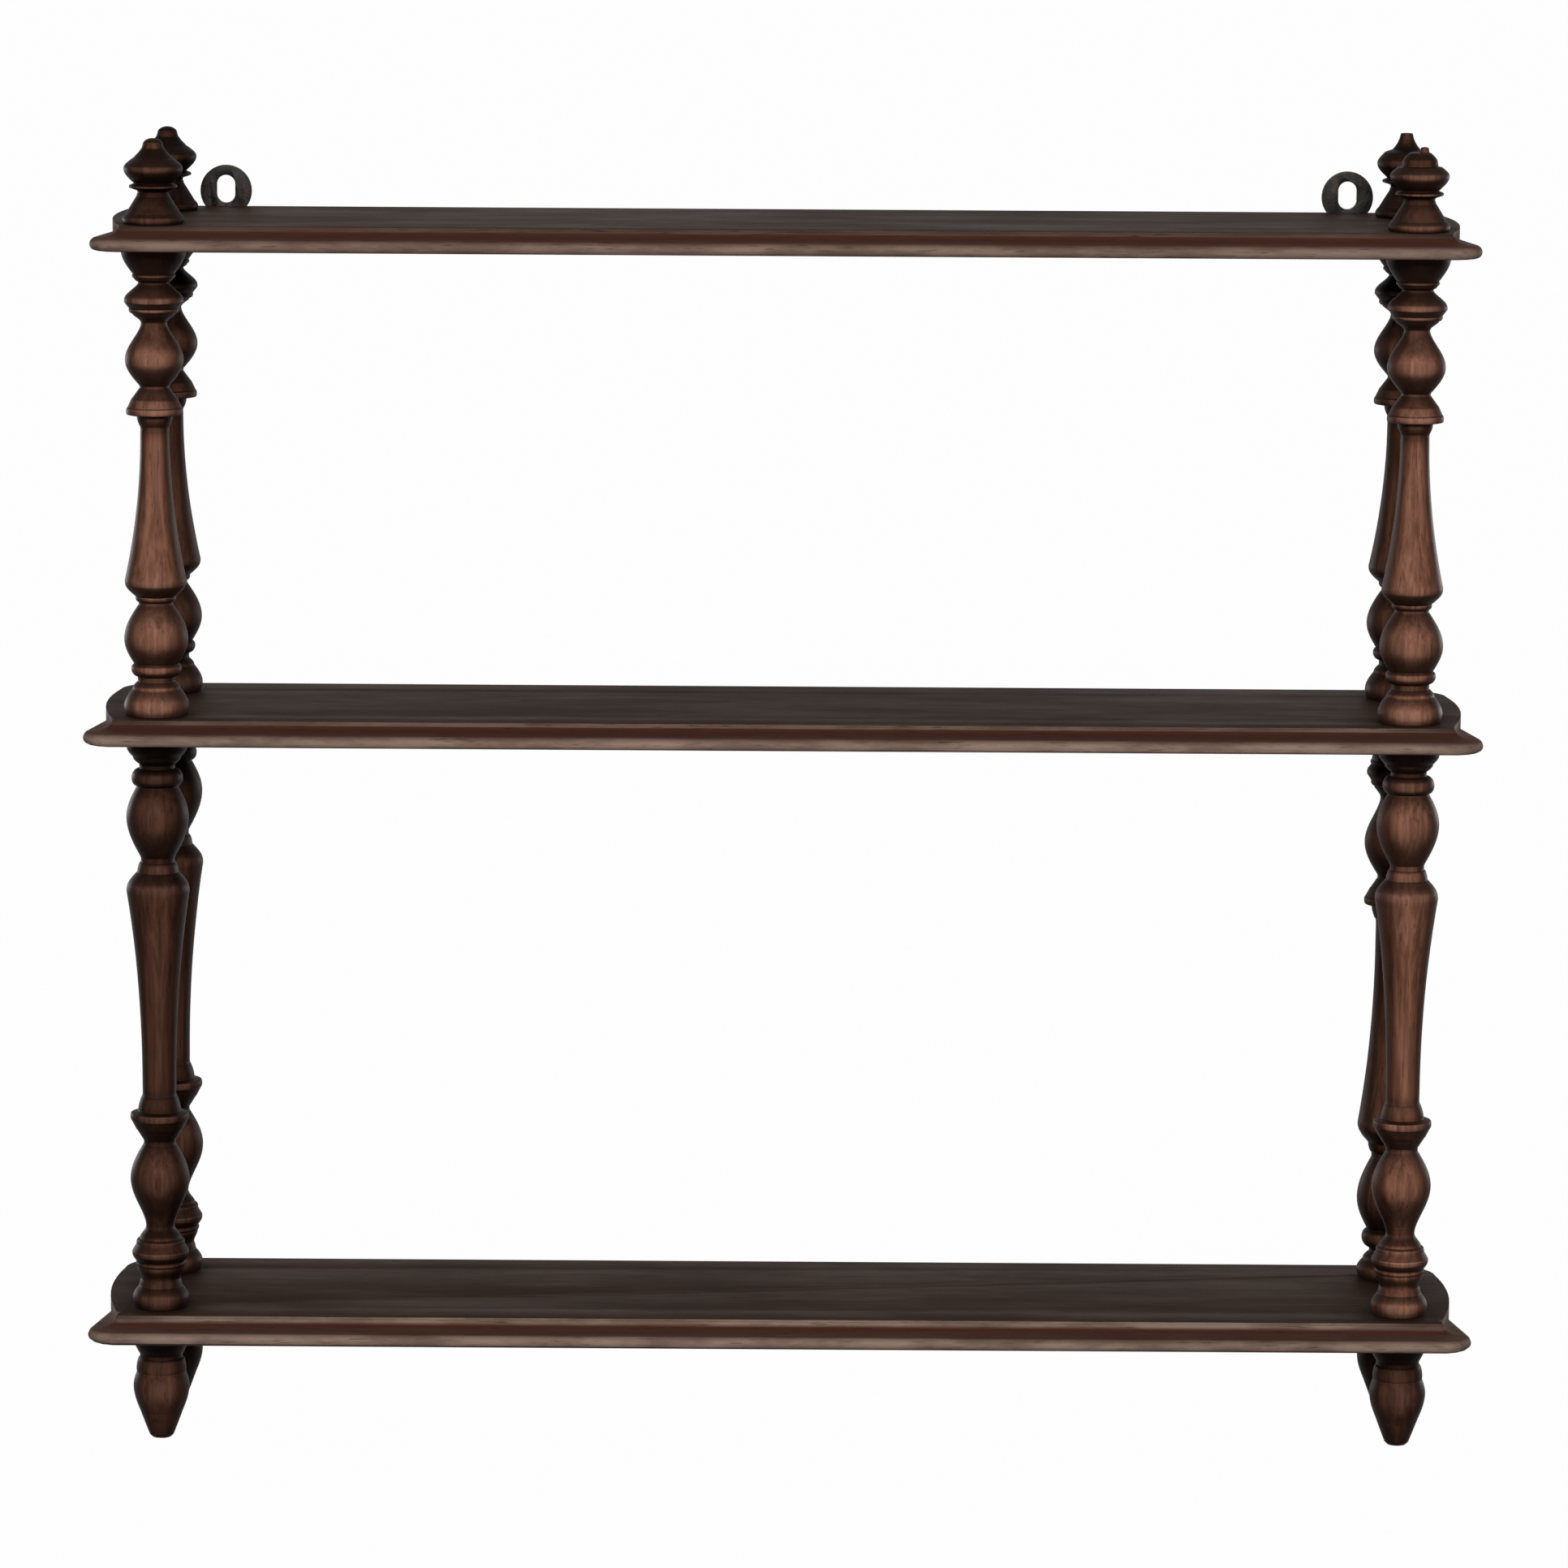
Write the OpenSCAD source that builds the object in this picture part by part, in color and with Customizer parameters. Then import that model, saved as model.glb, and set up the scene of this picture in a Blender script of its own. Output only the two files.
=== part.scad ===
// Turned wall shelf: three moulded boards on four posts of turned columns,
// with finials above, pendants below and two iron hanging eyes at the back.
// Millimetres. The origin is the middle of the top board's back edge, +Y points
// to the wall, the boards reach out to -Y, and +Z is up.

/* [Boards] */
// Length of a board over its moulded ends
board_len = 660; // [500:1:900]
// Depth of a board from the wall to the moulded front
board_depth = 141.5; // [130:0.5:200]
// Thickness of the top and the middle board
board_t = 11; // [9:0.5:18]
// Thickness of the bottom board
bottom_t = 12; // [9:0.5:18]
// How much shorter the top board is at each end
top_trim = 5; // [0:0.5:8]
// Clear height between the top and the middle board
upper_clear = 222; // [190:1:320]
// Clear height between the middle and the bottom board
lower_clear = 276; // [240:1:380]

/* [Board edge] */
// Width of the moulding worked on the front and the front corners
mould_w = 13.5; // [11:0.5:18]
// Height of the square fillet above the cove
fillet_h = 1.1; // [0.6:0.1:2]
// Width of the ledge between the fillet and the cove
ledge_w = 0.8; // [0.4:0.1:1.5]
// Radius of the rounded nose
nose_r = 3.1; // [2.4:0.1:3.6]
// Radius of the fillet's corner in plan, round which the moulding wraps
corner_r = 1.5; // [1:0.1:3]
// Angle by which the moulding draws in along the board's ends
return_angle = 10; // [7:1:14]
// Distance behind the front fillet at which the ear of the board starts
ear_start = 9; // [6:1:20]
// Distance of the ear's widest point inside the overall length
ear_inset = 5.5; // [4:0.5:9]
// Bow of the ear between its ends
ear_bow = 7.5; // [3:0.5:12]
// Radius of the ear's back corner
back_corner_r = 22; // [12:1:30]

/* [Posts] */
// Distance of the posts from the ends of the longest boards
post_inset = 33; // [31:0.5:45]
// Distance of the front posts from the moulded front
post_front = 34.5; // [31:0.5:45]
// Distance of the back posts from the wall
post_back = 25.5; // [22:0.5:30]

/* [Upper columns] */
// Diameter of the cup under the top board
upper_cup_d = 30.8; // [27:0.2:34]
// Diameter of the disc below the cup
upper_disc_d = 28; // [25:0.2:33]
// Diameter of the ball in the cap turning
upper_cap_ball_d = 27.6; // [25:0.1:33]
// Diameter of the collar above the shaft
upper_collar_d = 26.8; // [23:0.2:33]
// Diameter of the shaft where it is thinnest
upper_shaft_d = 13.6; // [12.4:0.2:18]
// Diameter of the shoulder at the wide end of the shaft
upper_shoulder_d = 29.2; // [26:0.2:34]
// Diameter of the ball in the foot turning
upper_foot_ball_d = 30.2; // [27:0.2:34]
// Diameter of the ring above the foot
upper_ring_d = 23.6; // [21:0.2:30]
// Diameter of the foot
upper_foot_d = 30.8; // [27:0.2:34]

/* [Lower columns] */
// Diameter of the roll at the cap end
lower_cup_d = 27; // [25:0.2:33]
// Diameter of the disc next to the roll
lower_disc_d = 27.2; // [25.6:0.2:33]
// Diameter of the ball in the cap turning
lower_cap_ball_d = 28.2; // [26:0.2:34]
// Diameter of the collar at the thin end of the shaft
lower_collar_d = 27.8; // [25:0.2:33]
// Diameter of the shaft where it is thinnest
lower_shaft_d = 16; // [14:0.2:20]
// Diameter of the shoulder at the wide end of the shaft
lower_shoulder_d = 30; // [27:0.2:34]
// Diameter of the ball in the foot turning
lower_foot_ball_d = 29.6; // [27:0.2:34]
// Diameter of the ring next to the foot
lower_ring_d = 24.4; // [22:0.2:30]
// Diameter of the foot
lower_foot_d = 28.8; // [26:0.2:33]

/* [Finials and pendants] */
// Diameter of a finial's base
finial_base_d = 29.2; // [27:0.2:34]
// Diameter of a finial's bulb
finial_bulb_d = 27.8; // [25:0.2:34]
// Height of a finial with its knob
finial_h = 40; // [38:0.5:50]
// Diameter of a pendant's belly
pendant_belly_d = 26.8; // [25:0.2:34]
// Length of a pendant below the bottom board
pendant_h = 52; // [48:0.5:70]

/* [Tenons] */
// Diameter of the tenons and the dowels
tenon_d = 10; // [8:0.5:11]
// Depth that a tenon or a dowel goes into a column
tenon_len = 19.5; // [12:0.5:20]
// Clearance around a tenon
tenon_clear = 0.1; // [0.05:0.05:0.3]
// Space left beyond the end of a tenon
tenon_end_gap = 0.5; // [0.3:0.1:1]

/* [Hangers] */
// Distance of the hanging eyes from the ends of the longest boards
hanger_inset = 59.25; // [56:0.25:150]
// Diameter of the round head of a hanger
eye_d = 24.8; // [20:0.2:30]
// Height of the head's centre above the top board
eye_rise = 7.5; // [5:0.5:9]
// Width of the eye
eye_hole_w = 8.8; // [6:0.2:11]
// Height of the eye
eye_hole_h = 13.4; // [11.2:0.2:15]
// Thickness of the hanger plate
hanger_t = 2.6; // [2:0.1:4]
// Width of the hanger's tail
tail_w = 21; // [19:0.5:24]
// Gap around the tail in its recess
tail_clear = 0.2; // [0.1:0.1:0.5]
// Distance between the two screws of a hanger
screw_pitch = 11; // [9.5:0.5:12]
// Diameter of a screw's shank
screw_d = 3; // [2.5:0.1:3.5]
// Diameter of a screw's head
screw_head_d = 6; // [5:0.1:7]
// Length of a screw with its head
screw_len = 16; // [12:1:25]
// Clearance around a screw
screw_clear = 0.1; // [0.05:0.05:0.2]

/* [Hidden] */
$fn = 64;
wood = "#4a2b20";
bare_wood = "#a5794f";
iron = "#33332f";
steel = "#5b5852";

// Undersides of the three boards, and their top faces
top_z = -board_t / 2;
middle_z = top_z - upper_clear - board_t;
bottom_z = middle_z - lower_clear - bottom_t;

// Half lengths of the boards, and the line of the fillet along the front, where
// the flat top face ends
full_half = board_len / 2;
top_half = full_half - top_trim;
face_y = -(board_depth - mould_w);

// Posts, as their sides: -1 is left and +1 is right
post_x = full_half - post_inset;
back_y = -post_back;
front_y = -board_depth + post_front;
hanger_x = full_half - hanger_inset;
corners = [[-1, front_y], [1, front_y], [-1, back_y], [1, back_y]];

// Points of the right ear of a board, from its front end round to the back edge;
// half is half the board's length
ear_y0 = face_y + ear_start;
ear_steps = 16;
corner_steps = 8;
ear_end_t = 1 - back_corner_r / -ear_y0;
function bow_x(half, t) = half - ear_inset - ear_bow * pow(2 * t - 1, 2);
function ear_outline(half) =
    let (centre = [bow_x(half, ear_end_t) - back_corner_r, -back_corner_r])
    concat(
        [for (k = [0:ear_steps]) let (t = k / ear_steps * ear_end_t) [bow_x(half, t), ear_y0 * (1 - t)]],
        [for (k = [1:corner_steps]) let (a = 90 * k / corner_steps) centre + back_corner_r * [cos(a), sin(a)]]
    );

// Section of the board's edge for a thickness t: points are [distance out from
// the fillet, height below the top face]. It goes in behind the fillet by reach
cove_w = mould_w - nose_r - ledge_w;
cove_steps = 10;
nose_steps = 12;
function edge_points(t, reach) =
    let (cove_h = t - fillet_h - 2 * nose_r)
    concat(
        [[-reach, 0], [0, 0], [0, -fillet_h]],
        [
            for (k = [0:cove_steps])
                let (a = 90 * k / cove_steps)
                [ledge_w + cove_w * (1 - cos(a)), -fillet_h - cove_h * sin(a)]
        ],
        [
            for (k = [1:nose_steps])
                let (a = 90 - 180 * k / nose_steps)
                [mould_w - nose_r + nose_r * cos(a), -t + nose_r + nose_r * sin(a)]
        ],
        [[-reach, -t]]
    );

// Turning: every run starts where the one before it ends, and gives the points
// after its start. A point is [radius, height].
function mix(a, b, t) = a + (b - a) * t;
// From a neck out to a crest, level at the crest
function rise(a, b, n = 7) =
    [for (k = [1:n]) let (t = k / n) [mix(a[0], b[0], sin(90 * t)), mix(a[1], b[1], t)]];
// From a crest in to a neck, level at the crest
function fall(a, b, n = 7) =
    [for (k = [1:n]) let (t = k / n) [mix(b[0], a[0], cos(90 * t)), mix(a[1], b[1], t)]];
// From a level start round to a level end
function ogee(a, b, n = 9) =
    [for (k = [1:n]) let (t = k / n) [mix(a[0], b[0], pow((1 - cos(180 * t)) / 2, 0.8)), mix(a[1], b[1], t)]];
// Half round bead that stands out from the line between its ends
function bead(a, b, out, n = 8) =
    [for (k = [1:n]) let (t = k / n) [mix(a[0], b[0], t) + out * sin(180 * t), mix(a[1], b[1], (1 - cos(180 * t)) / 2)]];
// Shaft that swells from its thin end by a power of the length
function swell(a, b, power, n = 12) =
    [for (k = [1:n]) let (t = k / n) [mix(a[0], b[0], pow(t, power)), mix(a[1], b[1], t)]];
function flipped(path, len) = [for (k = [len(path) - 1:-1:0]) [path[k][0], len - path[k][1]]];

// Cap turning of an upper column, measured from its end against the top board
function upper_cap() =
    let (
        cup = [upper_cup_d / 2, 1],
        cup_end = [9.7, 12.8],
        neck_1 = [7.2, 16.6],
        disc = [upper_disc_d / 2, 25],
        neck_2 = [6.1, 35.8],
        ball = [upper_cap_ball_d / 2, 53.2],
        neck_3 = [7, 65.4],
        collar = [upper_collar_d / 2, 76.8]
    )
    concat(
        [[cup[0], 0], cup],
        fall(cup, cup_end),
        bead(cup_end, cup_end + [-0.4, 1.8], 0.7, 6),
        fall(cup_end + [-0.4, 1.8], neck_1, 4),
        ogee(neck_1, disc),
        [disc + [0, 0.9], disc + [-2.4, 4]],
        bead(disc + [-2.4, 4], disc + [-3.6, 6.2], 0.8, 6),
        ogee(disc + [-3.6, 6.2], neck_2, 6),
        ogee(neck_2, ball, 12),
        fall(ball, neck_3, 9),
        [neck_3 + [0, 1]],
        [[mix(neck_3[0], collar[0], 0.55), 71.2], [mix(neck_3[0], collar[0], 0.62), 71.7]],
        [collar + [-0.5, -1]],
        bead(collar + [-0.5, -1], collar + [-0.4, 2.2], 0.5, 6),
        [[8.4, collar[1] + 3]],
        fall([8.4, collar[1] + 3], [upper_shaft_d / 2, 85], 5)
    );

// Foot turning of an upper column, measured up from its end on the middle board
function upper_foot() =
    let (
        foot = [upper_foot_d / 2, 4.2],
        neck_1 = [8.8, 16.2],
        ring_low = [8.9, 18.6],
        ring_high = [10.4, 24.4],
        ball = [upper_foot_ball_d / 2, 36.5],
        neck_2 = [8.1, 52.8],
        shoulder_low = [9.4, 56.6],
        shoulder = [upper_shoulder_d / 2, 63.4]
    )
    concat(
        [[foot[0] - 1.1, 0]],
        rise([foot[0] - 1.1, 0], foot, 5),
        fall(foot, [11.4, 12.6], 7),
        fall([11.4, 12.6], neck_1, 4),
        [ring_low],
        bead(ring_low, ring_high, upper_ring_d / 2 - 9.65, 10),
        rise(ring_high, ball),
        fall(ball, neck_2, 9),
        [neck_2 + [0, 1.2]],
        bead(neck_2 + [0, 1.2], shoulder_low, 0.7, 6),
        rise(shoulder_low, shoulder, 6),
        [shoulder + [0, 1]]
    );

// Cap turning of a lower column, which is longer than the upper one
function lower_cap() =
    let (
        roll = [lower_cup_d / 2, 4.8],
        neck_1 = [9.4, 14.2],
        disc = [lower_disc_d / 2, 26.6],
        neck_2 = [6.8, 40],
        ball = [lower_cap_ball_d / 2, 63],
        neck_3 = [7.6, 80],
        collar = [lower_collar_d / 2, 92.4]
    )
    concat(
        [[roll[0] - 1.2, 0]],
        rise([roll[0] - 1.2, 0], roll, 5),
        fall(roll, neck_1 + [0.9, -3.6], 6),
        fall(neck_1 + [0.9, -3.6], neck_1, 3),
        ogee(neck_1, [11.4, 20.4], 5),
        bead([11.4, 20.4], [11.4, 22.6], 0.6, 6),
        rise([11.4, 22.6], disc, 5),
        [disc + [0, 0.9], disc + [-2.2, 4.6]],
        bead(disc + [-2.2, 4.6], disc + [-3.4, 7], 0.7, 6),
        ogee(disc + [-3.4, 7], neck_2, 6),
        ogee(neck_2, ball, 12),
        fall(ball, neck_3, 9),
        [neck_3 + [0, 1.6]],
        [[mix(neck_3[0], collar[0], 0.5), 86.6], [mix(neck_3[0], collar[0], 0.57), 87.1]],
        [collar + [-0.5, -1]],
        bead(collar + [-0.5, -1], collar + [-0.5, 2.6], 0.5, 6),
        [[10.2, collar[1] + 3.4]],
        fall([10.2, collar[1] + 3.4], [lower_shaft_d / 2, 104], 5)
    );

// Foot turning of a lower column, measured from its foot end
function lower_foot() =
    let (
        foot = [lower_foot_d / 2, 4.2],
        neck_1 = [8.4, 12.6],
        ring_low = [8.5, 14.6],
        ring_high = [9.6, 23],
        ball = [lower_foot_ball_d / 2, 38],
        neck_2 = [8.1, 57.4],
        shoulder_low = [9.9, 64.4],
        shoulder = [lower_shoulder_d / 2, 72.8]
    )
    concat(
        [[foot[0] - 1.1, 0]],
        rise([foot[0] - 1.1, 0], foot, 5),
        fall(foot, [11.6, 8.8], 5),
        fall([11.6, 8.8], neck_1, 3),
        [ring_low],
        bead(ring_low, ring_high, lower_ring_d / 2 - 9.05, 10),
        rise(ring_high, ball),
        fall(ball, neck_2, 10),
        [neck_2 + [0, 2.2]],
        bead(neck_2 + [0, 2.2], shoulder_low, 0.5, 6),
        rise(shoulder_low, shoulder, 6),
        [shoulder + [0, 1]]
    );

// Whole column from its cap end, at height 0, to its foot end
function upper_path() =
    let (cap = upper_cap(), foot = flipped(upper_foot(), upper_clear))
    concat(cap, [[cap[len(cap) - 1][0], 87]], swell([upper_shaft_d / 2, 87], foot[0], 2), [for (k = [1:len(foot) - 1]) foot[k]]);
function spaced(path, factor) = [for (p = path) [p[0], p[1] * factor]];
function lower_path(cap_factor = 1, foot_factor = 1) =
    let (
        cap = spaced(lower_cap(), cap_factor),
        foot = flipped(spaced(lower_foot(), foot_factor), lower_clear),
        start = [lower_shaft_d / 2, 108]
    )
    concat(cap, [start], swell(start, foot[0], 2.1), [for (k = [1:len(foot) - 1]) foot[k]]);

// Finial up to its bulb; the three tops start from the bulb
finial_neck = [7.2, 14.6];
finial_bulb = [finial_bulb_d / 2, 25.8];
function finial_body() =
    let (base = [finial_base_d / 2, 2])
    concat(
        [[base[0] - 0.6, 0]],
        rise([base[0] - 0.6, 0], base, 4),
        fall(base, [13, 4.6], 4),
        [[12.5, 5.4], [7.8, 13]],
        fall([7.8, 13], finial_neck, 3),
        [[7.7, 15.6], [11, 16.7]],
        bead([11, 16.7], [10.8, 18.1], 0.5, 5),
        [[9, 18.9]],
        rise([9, 18.9], finial_bulb, 8)
    );
function knob_top() =
    concat(
        fall(finial_bulb, [9.8, 30.4], 5),
        [[9.3, 30.7], [6.7, 33.4], [5.2, 35.4], [4.8, finial_h - 3.2]],
        [for (k = [1:6]) let (a = 15 * k) [4.8 * cos(a), finial_h - 3.2 + 3.2 * sin(a)]]
    );
function spire_top() =
    concat(
        fall(finial_bulb, [11, 30.4], 5),
        fall([11, 30.4], [6.8, 32.4], 3),
        [[5.6, 33.8], [4.5, 35.4], [3.5, 37.6], [2.8, finial_h + 0.2], [0, finial_h + 0.2]]
    );
function worn_top() =
    concat(
        fall(finial_bulb, [10.4, 29.9], 4),
        [[8.6, 30.3], [8.3, 32]],
        fall([8.3, 32], [5, 36.6], 6),
        [[0, 37]]
    );

// Pendant, measured down from the underside of the bottom board
function pendant_path() =
    let (belly = [pendant_belly_d / 2, 26.6], tip = pendant_h - 1.4)
    concat(
        [[13.2, 0], [13.2, 3]],
        fall([13.2, 3], [10.2, 11], 5),
        [[10.2, 12.6]],
        bead([10.2, 12.6], [11.7, 19.6], 0.8, 8),
        rise([11.7, 19.6], belly, 6),
        fall(belly, [10.2, 39], 8),
        [[7.6, 46], [5.8, tip], [4.4, pendant_h], [0, pendant_h]]
    );

// Sizes shared by the tenons, the sockets and the holes in the boards
tenon_r = tenon_d / 2;
hole_r = tenon_r + tenon_clear;
socket_len = tenon_len + tenon_end_gap;
tenon_tip = 1;

// Hangers
eye_z = board_t / 2 + eye_rise;
eye_hole_z = eye_z + 0.9;
tail_low = -board_t / 2 + 1.6;
screw_head_h = (screw_head_d - screw_d) / 2;
screw_point = 3;
cut = 1;

// Moves its children to a post: side is -1 or 1, y is front_y or back_y
module at_post(side, y, z) {
    translate([side * post_x, y, z]) children();
}

// Solid of revolution from a path that ends on the axis
module turned(path) {
    rotate_extrude() polygon(concat([[0, path[0][1]]], path));
}

// Plan of a board behind its moulding, with its bowed ears
module ear_plan(half) {
    right = ear_outline(half);
    left = [for (k = [len(right) - 1:-1:0]) [-right[k][0], right[k][1]]];
    polygon(concat(right, left));
}

// Space that the moulding leaves to the board on one line of the edge: the fillet
// touches the corner's arc where the line faces the angle a from the front
module moulded_line(half, t, a) {
    translate([half - mould_w - corner_r, face_y + corner_r, t]) rotate([0, 0, a - 90])
        translate([corner_r, 0, 0]) rotate([90, 0, 0])
            linear_extrude(3 * board_len, center = true) polygon(edge_points(t, board_len));
}

// Board with its worked front and front corners, ears and post holes; z is its
// underside. The moulding wraps round the corners in four steps, and then
// draws in along the ends
module board(z, t, half) {
    translate([0, 0, z]) difference() {
        union() {
            intersection() {
                translate([0, face_y, t]) rotate([90, 0, -90])
                    linear_extrude(2 * board_len, center = true) polygon(edge_points(t, -face_y));
                moulded_line(half, t, 22.5);
                moulded_line(half, t, 45);
                moulded_line(half, t, 67.5);
                moulded_line(half, t, 90);
                moulded_line(half, t, 90 + return_angle);
                mirror([1, 0, 0]) moulded_line(half, t, 22.5);
                mirror([1, 0, 0]) moulded_line(half, t, 45);
                mirror([1, 0, 0]) moulded_line(half, t, 67.5);
                mirror([1, 0, 0]) moulded_line(half, t, 90);
                mirror([1, 0, 0]) moulded_line(half, t, 90 + return_angle);
            }
            linear_extrude(t) ear_plan(half);
        }
        for (p = corners) {
            at_post(p[0], p[1], -cut) cylinder(r = hole_r, h = t + 2 * cut);
        }
    }
}

module shelf_top() {
    color(wood) difference() {
        board(top_z, board_t, top_half);
        for (side = [-1, 1]) {
            translate([side * hanger_x, 0, 0]) {
                translate([-tail_w / 2 - tail_clear, -hanger_t - tail_clear, tail_low - tail_clear])
                    cube([tail_w + 2 * tail_clear, hanger_t + tail_clear + cut, board_t + cut]);
                for (dx = [-1, 1]) {
                    translate([dx * screw_pitch / 2, -hanger_t, 0]) rotate([90, 0, 0])
                        cylinder(r = screw_d / 2 + screw_clear, h = screw_len - hanger_t + cut);
                }
            }
        }
    }
}
module shelf_middle() { color(wood) board(middle_z, board_t, full_half); }
module shelf_bottom() { color(wood) board(bottom_z, bottom_t, full_half); }

// Finial with its tenon, which goes through the top board into the column
module finial(top) {
    turned(concat(finial_body(), top));
    turned_tenon(-board_t - tenon_len, 0);
}

// Tenon between two heights, chamfered at its lower end
module turned_tenon(low, high) {
    turned([[tenon_r - tenon_tip, low], [tenon_r, low + tenon_tip], [tenon_r, high + 0.5], [0, high + 0.5]]);
}
module finial_knob(side, y) {
    color(wood) at_post(side, y, board_t / 2) finial(knob_top());
}
module finial_spire(side, y) {
    color(wood) at_post(side, y, board_t / 2) finial(spire_top());
}
// Finial whose knob has broken off, with the stub of it left beside the axis
module finial_worn(side, y) {
    color(wood) at_post(side, y, board_t / 2) {
        finial(worn_top());
        translate([2, 0, 34]) cylinder(r1 = 2.8, r2 = 1.8, h = 5.4);
    }
}

// Column with a socket in each end; the path starts at its cap end, at height 0
module column(path, length) {
    difference() {
        turned(concat(path, [[0, length]]));
        translate([0, 0, -cut]) cylinder(r = hole_r, h = socket_len + cut);
        translate([0, 0, length - socket_len]) cylinder(r = hole_r, h = socket_len + cut);
    }
}
// Upper column, which hangs from its cap
module upper_column(side, y) {
    color(wood) at_post(side, y, top_z) rotate([180, 0, 0]) column(upper_path(), upper_clear);
}
// Lower column with its cap down, as three of the posts have it
module lower_column(side, y) {
    color(wood) at_post(side, y, bottom_z + bottom_t) column(lower_path(), lower_clear);
}
// Lower column with its cap up, as the back right post has it. Its turnings are
// spaced a little closer at the cap and wider at the foot than the other three's
module lower_column_upright(side, y) {
    color(wood) at_post(side, y, middle_z) rotate([180, 0, 0]) column(lower_path(0.95, 1.05), lower_clear);
}

// Pendant with its tenon, which goes up through the bottom board
module pendant(side, y) {
    color(wood) at_post(side, y, bottom_z) rotate([180, 0, 0]) {
        turned(pendant_path());
        turned_tenon(-bottom_t - tenon_len, 0);
    }
}

// Loose dowels that join the upper and the lower columns through the middle board
module middle_dowels() {
    low = middle_z - tenon_len;
    high = middle_z + board_t + tenon_len;
    color(bare_wood) for (p = corners) {
        at_post(p[0], p[1], 0) turned([
            [tenon_r - tenon_tip, low], [tenon_r, low + tenon_tip],
            [tenon_r, high - tenon_tip], [tenon_r - tenon_tip, high], [0, high]
        ]);
    }
}

// Iron plate with a round head and an upright eye, let into the board's back edge
module hanger(side) {
    straight = eye_hole_h - eye_hole_w;
    color(iron) translate([side * hanger_x, 0, 0]) difference() {
        rotate([90, 0, 0]) linear_extrude(hanger_t) difference() {
            union() {
                translate([0, eye_z]) circle(d = eye_d);
                translate([-tail_w / 2, tail_low]) square([tail_w, board_t / 2 - tail_low]);
            }
            translate([0, eye_hole_z + straight / 2]) circle(d = eye_hole_w);
            translate([0, eye_hole_z - straight / 2]) circle(d = eye_hole_w);
            translate([-eye_hole_w / 2, eye_hole_z - straight / 2]) square([eye_hole_w, straight]);
        }
        for (dx = [-1, 1]) {
            translate([dx * screw_pitch / 2, 0, 0]) rotate([90, 0, 0]) screw_hole();
        }
    }
}
// Countersunk hole, cut from the back face inwards
module screw_hole() {
    r = screw_d / 2 + screw_clear;
    head_r = screw_head_d / 2 + screw_clear;
    translate([0, 0, -cut]) cylinder(r = r, h = hanger_t + 2 * cut);
    translate([0, 0, -0.2]) cylinder(r1 = head_r + 0.2, r2 = r, h = head_r - r + 0.2);
}

// Countersunk wood screws of the hangers
module hanger_screws() {
    r = screw_d / 2;
    head_r = screw_head_d / 2;
    color(steel) for (side = [-1, 1]) {
        for (dx = [-1, 1]) {
            translate([side * hanger_x + dx * screw_pitch / 2, 0, 0]) rotate([90, 0, 0])
                turned([
                    [head_r, 0], [r, screw_head_h], [r, screw_len - screw_point], [0, screw_len]
                ]);
        }
    }
}

shelf_top();
shelf_middle();
shelf_bottom();
finial_knob(-1, front_y);  // finial_front_left
finial_worn(1, front_y);  // finial_front_right
finial_knob(-1, back_y);  // finial_back_left
finial_spire(1, back_y);  // finial_back_right
upper_column(-1, front_y);  // upper_column_front_left
upper_column(1, front_y);  // upper_column_front_right
upper_column(-1, back_y);  // upper_column_back_left
upper_column(1, back_y);  // upper_column_back_right
lower_column(-1, front_y);  // lower_column_front_left
lower_column(1, front_y);  // lower_column_front_right
lower_column(-1, back_y);  // lower_column_back_left
lower_column_upright(1, back_y);  // lower_column_back_right
pendant(-1, front_y);  // pendant_front_left
pendant(1, front_y);  // pendant_front_right
pendant(-1, back_y);  // pendant_back_left
pendant(1, back_y);  // pendant_back_right
middle_dowels();
hanger(-1);  // hanger_left
hanger(1);  // hanger_right
hanger_screws();
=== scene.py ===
import math

import bmesh
import bpy
import numpy as np
from mathutils import Matrix, Vector


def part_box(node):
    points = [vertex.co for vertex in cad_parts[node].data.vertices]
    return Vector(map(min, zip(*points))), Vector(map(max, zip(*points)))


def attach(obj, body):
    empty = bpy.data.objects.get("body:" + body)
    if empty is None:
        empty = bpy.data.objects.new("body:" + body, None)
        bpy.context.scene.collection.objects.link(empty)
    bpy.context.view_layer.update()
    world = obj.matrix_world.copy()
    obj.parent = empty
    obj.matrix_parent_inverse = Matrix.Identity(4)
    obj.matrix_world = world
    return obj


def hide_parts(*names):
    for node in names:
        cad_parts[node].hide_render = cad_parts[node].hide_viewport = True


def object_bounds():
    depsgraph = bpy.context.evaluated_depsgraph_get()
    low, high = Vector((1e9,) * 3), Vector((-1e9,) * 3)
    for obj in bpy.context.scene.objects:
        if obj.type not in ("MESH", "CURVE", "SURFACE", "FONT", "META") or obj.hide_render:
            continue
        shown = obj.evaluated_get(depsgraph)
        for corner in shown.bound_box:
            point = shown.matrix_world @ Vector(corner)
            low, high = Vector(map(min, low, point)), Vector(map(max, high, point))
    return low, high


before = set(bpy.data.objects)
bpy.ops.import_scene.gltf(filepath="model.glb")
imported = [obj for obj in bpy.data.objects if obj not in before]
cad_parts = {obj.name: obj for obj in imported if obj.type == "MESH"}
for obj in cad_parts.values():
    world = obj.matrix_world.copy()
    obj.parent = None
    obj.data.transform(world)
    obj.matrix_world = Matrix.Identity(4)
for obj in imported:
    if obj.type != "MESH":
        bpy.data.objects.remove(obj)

bl_info = {
    "name": "Turned wall shelf",
    "version": (1, 0, 0),
    "blender": (4, 5, 0),
    "location": "3D View > Sidebar > Shelf",
    "description": "Dresses the turned wall shelf in stained wood and forged iron",
    "category": "Object",
}

CAD_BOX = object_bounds()
MM = 0.001

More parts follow.
